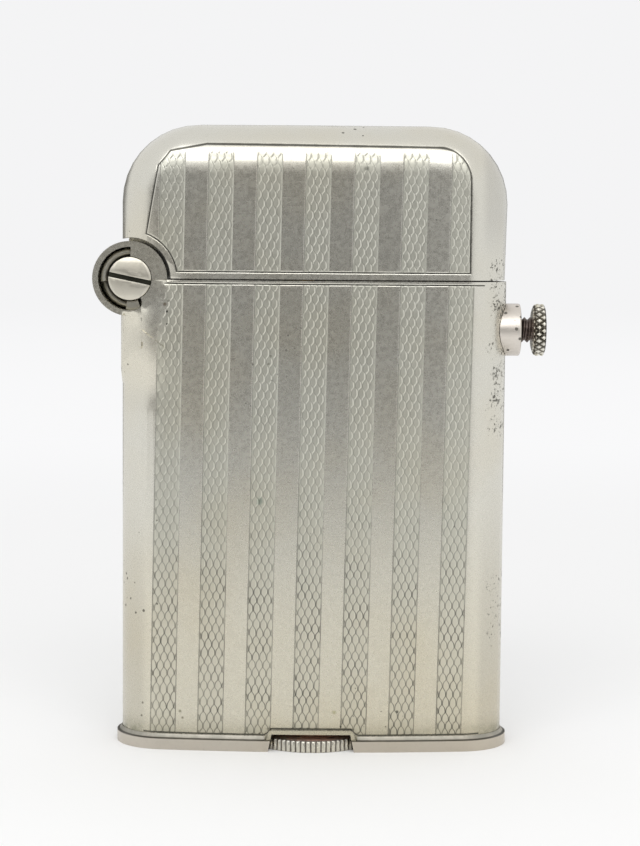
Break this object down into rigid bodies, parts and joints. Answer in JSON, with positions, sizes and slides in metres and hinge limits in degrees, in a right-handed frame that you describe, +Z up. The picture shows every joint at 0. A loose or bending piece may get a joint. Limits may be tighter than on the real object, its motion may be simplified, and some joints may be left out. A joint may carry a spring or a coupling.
{
  "type": "pocket lighter",
  "caption": "Slim upright petrol pocket lighter: rounded case with a hinged lid that strikes the spark wheel, a side push-button catch, and a knurled filler screw in the base.",
  "frame": {"origin": "centre of the case's underside, on the surface that the lighter stands on", "axes": "+Z up through the lid, +X towards the push-button, -Y towards the face with the hinge screw"},
  "size_m": [0.0413, 0.0116, 0.057],
  "materials": {
    "nickel_plate": "worn nickel plate, satin",
    "bright_nickel": "polished nickel",
    "worn_wheel": "copper showing through",
    "plain_brass": "machined",
    "steel": "machined",
    "dark_steel": "oxidised",
    "flint_stone": "rough",
    "cotton": "loose fibre",
    "washer": "matte"
  },
  "bodies": {
    "case": {"case_shell": "nickel_plate", "base_plate": "nickel_plate", "deck_plate": "plain_brass", "latch_housing": "plain_brass", "tank_wadding": "cotton", "wick_tube": "plain_brass", "wick": "cotton", "flint_tube": "plain_brass", "flint_spring": "steel", "flint_screw": "plain_brass", "filler_neck": "plain_brass", "button_collar": "bright_nickel", "latch_pin": "steel", "latch_spring": "steel", "wheel_bracket": "plain_brass", "bracket_screws": "steel", "wheel_axle": "steel", "hinge_screw": "bright_nickel", "lid_spring": "steel", "spring_stop": "nickel_plate"},
    "lid": {"lid_shell": "nickel_plate", "hinge_knuckle": "nickel_plate", "hinge_bush": "plain_brass", "pawl_pin": "steel", "lid_catch": "steel", "snuffer_cap": "plain_brass", "snuffer_post": "plain_brass", "snuffer_pad": "washer"},
    "pawl": {"drive_pawl": "steel"},
    "sparker": {"spark_wheel": "dark_steel", "ratchet_wheel": "steel"},
    "flint_feed": {"flint": "flint_stone", "flint_follower": "plain_brass"},
    "button": {"button_knob": "nickel_plate", "button_stem": "dark_steel", "stem_clip": "steel"},
    "latch": {"latch_lever": "steel"},
    "filler_seal": {"filler_gasket": "washer"},
    "filler": {"filler_screw": "worn_wheel"}
  },
  "joints": [
    {"name": "lid_hinge", "type": "hinge", "parent": "case", "child": "lid", "pos_m": [-0.01665, 0, 0.04302], "axis": [0, -1, 0], "range_deg": [0, 100], "deforming": ["lid_spring"]},
    {"name": "pawl_swing", "type": "hinge", "parent": "lid", "child": "pawl", "pos_m": [-0.01528, 0, 0.0454], "axis": [0, -1, 0], "range_deg": [-112.5, 0]},
    {"name": "spark_wheel_spin", "type": "hinge", "parent": "case", "child": "sparker", "pos_m": [-0.0093, 0, 0.04532], "axis": [0, -1, 0], "range_deg": [0, 110.5]},
    {"name": "flint_feed_slide", "type": "slide", "parent": "case", "child": "flint_feed", "axis": [0, 0, -1], "range_m": [0, 0.0015], "stiffness_N_per_m": 100, "deforming": ["flint_spring"]},
    {"name": "button_press", "type": "slide", "parent": "case", "child": "button", "axis": [-1, 0, 0], "range_m": [0, 0.0008], "stiffness_N_per_m": 300},
    {"name": "latch_swing", "type": "hinge", "parent": "case", "child": "latch", "pos_m": [0.0143, 0, 0.0342], "axis": [0, -1, 0], "range_deg": [0, 11], "deforming": ["latch_spring"]},
    {"name": "filler_lift", "type": "slide", "parent": "case", "child": "filler_seal", "axis": [0, 0, -1], "range_m": [0, 0.003]},
    {"name": "filler_turn", "type": "hinge", "parent": "filler_seal", "child": "filler", "pos_m": [0, 0, 0], "axis": [0, 0, -1], "range_deg": [0, 2160]}
  ],
  "couplings": [
    {"joint": "pawl_swing", "follows": "lid_hinge", "ratio": -1.12},
    {"joint": "spark_wheel_spin", "follows": "lid_hinge", "ratio": 1.1},
    {"joint": "latch_swing", "follows": "button_press", "rad_per_m": 232.56},
    {"joint": "filler_turn", "follows": "filler_lift", "rad_per_m": 12566}
  ]
}
